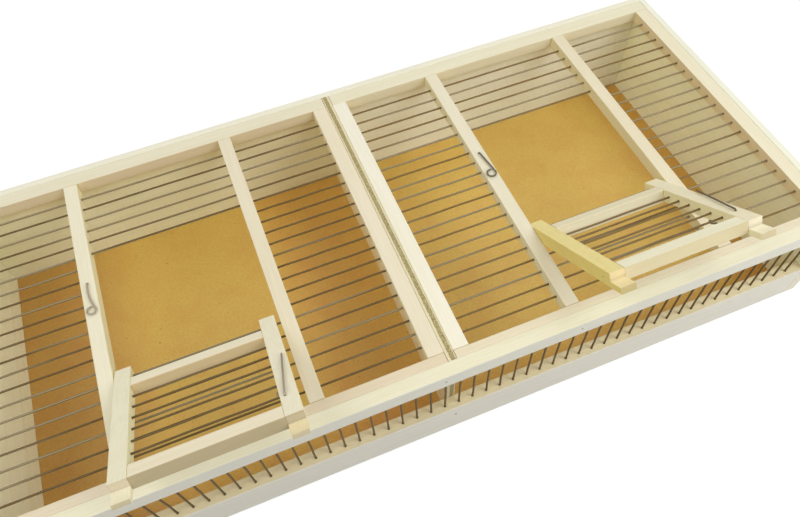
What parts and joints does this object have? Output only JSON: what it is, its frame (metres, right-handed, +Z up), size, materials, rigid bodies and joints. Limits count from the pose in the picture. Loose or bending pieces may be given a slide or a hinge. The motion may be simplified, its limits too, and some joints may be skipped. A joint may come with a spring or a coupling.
{
  "type": "wooden bird transport box",
  "caption": "Long, low softwood carrying box for small birds: two compartments, wired grille tops, a wired door over each, wire hooks and latches, and a barred front opening.",
  "frame": {"origin": "centre of the box's underside", "axes": "+X along the box's length to the right, +Y from the front to the back, +Z up"},
  "size_m": [1, 0.4806, 0.2485],
  "materials": {
    "wall_softwood": "planed, unvarnished",
    "frame_softwood": "planed, unvarnished",
    "plywood": "sanded plywood",
    "hardboard": "smooth hardboard",
    "wire": "drawn wire, dull grey",
    "brad_steel": "dull steel"
  },
  "bodies": {
    "box": {"floor_panel": "hardboard", "back_wall": "wall_softwood", "left_end_wall": "wall_softwood", "right_end_wall": "wall_softwood", "lower_front_board": "frame_softwood", "upper_front_rail": "frame_softwood", "partition": "plywood", "left_front_bars": "wire", "right_front_bars": "wire", "left_rear_rail": "frame_softwood", "left_front_rail": "frame_softwood", "left_outer_stile": "frame_softwood", "left_inner_stile": "frame_softwood", "left_crossbar_a": "frame_softwood", "left_crossbar_b": "frame_softwood", "left_hinge_rod": "wire", "left_rear_rods": "wire", "left_front_rods": "wire", "left_outer_bay_rods": "wire", "left_inner_bay_rods": "wire", "right_rear_rail": "frame_softwood", "right_front_rail": "frame_softwood", "right_outer_stile": "frame_softwood", "right_inner_stile": "frame_softwood", "right_crossbar_a": "frame_softwood", "right_crossbar_b": "frame_softwood", "right_hinge_rod": "wire", "right_rear_rods": "wire", "right_front_rods": "wire", "right_outer_bay_rods": "wire", "right_inner_bay_rods": "wire", "front_brads": "brad_steel", "end_brads": "brad_steel", "floor_brads": "brad_steel"},
    "left_door": {"left_door_rail_a": "frame_softwood", "left_door_rail_b": "frame_softwood", "left_door_hinge_bar": "frame_softwood", "left_door_free_bar": "frame_softwood", "left_door_rods": "wire"},
    "right_door": {"right_door_rail_a": "frame_softwood", "right_door_rail_b": "frame_softwood", "right_door_hinge_bar": "frame_softwood", "right_door_free_bar": "frame_softwood", "right_door_rods": "wire"},
    "left_hook": {"left_hook": "wire"},
    "right_hook": {"right_hook": "wire"},
    "left_latch": {"left_latch": "wire"},
    "right_latch": {"right_latch": "wire"}
  },
  "joints": [
    {"name": "left_door_hinge", "type": "hinge", "parent": "box", "child": "left_door", "pos_m": [-0.24725, -0.0906, 0.147], "axis": [1, 0, 0], "range_deg": [-152.21, 0]},
    {"name": "left_hook_turn", "type": "hinge", "parent": "box", "child": "left_hook", "pos_m": [-0.3448, 0.0404, 0.155], "axis": [0, 0, 1], "continuous": true},
    {"name": "left_latch_turn", "type": "hinge", "parent": "left_door", "child": "left_latch", "pos_m": [-0.171, -0.21179, 0.21088], "axis": [0, -0.4663, -0.8846], "continuous": true},
    {"name": "right_door_hinge", "type": "hinge", "parent": "box", "child": "right_door", "pos_m": [0.2442, -0.0906, 0.147], "axis": [1, 0, 0], "range_deg": [-145.82, 0]},
    {"name": "right_hook_turn", "type": "hinge", "parent": "box", "child": "right_hook", "pos_m": [0.14735, 0.0404, 0.155], "axis": [0, 0, 1], "continuous": true},
    {"name": "right_latch_turn", "type": "hinge", "parent": "right_door", "child": "right_latch", "pos_m": [0.32375, -0.20394, 0.22397], "axis": [0, -0.5618, -0.8273], "continuous": true}
  ]
}
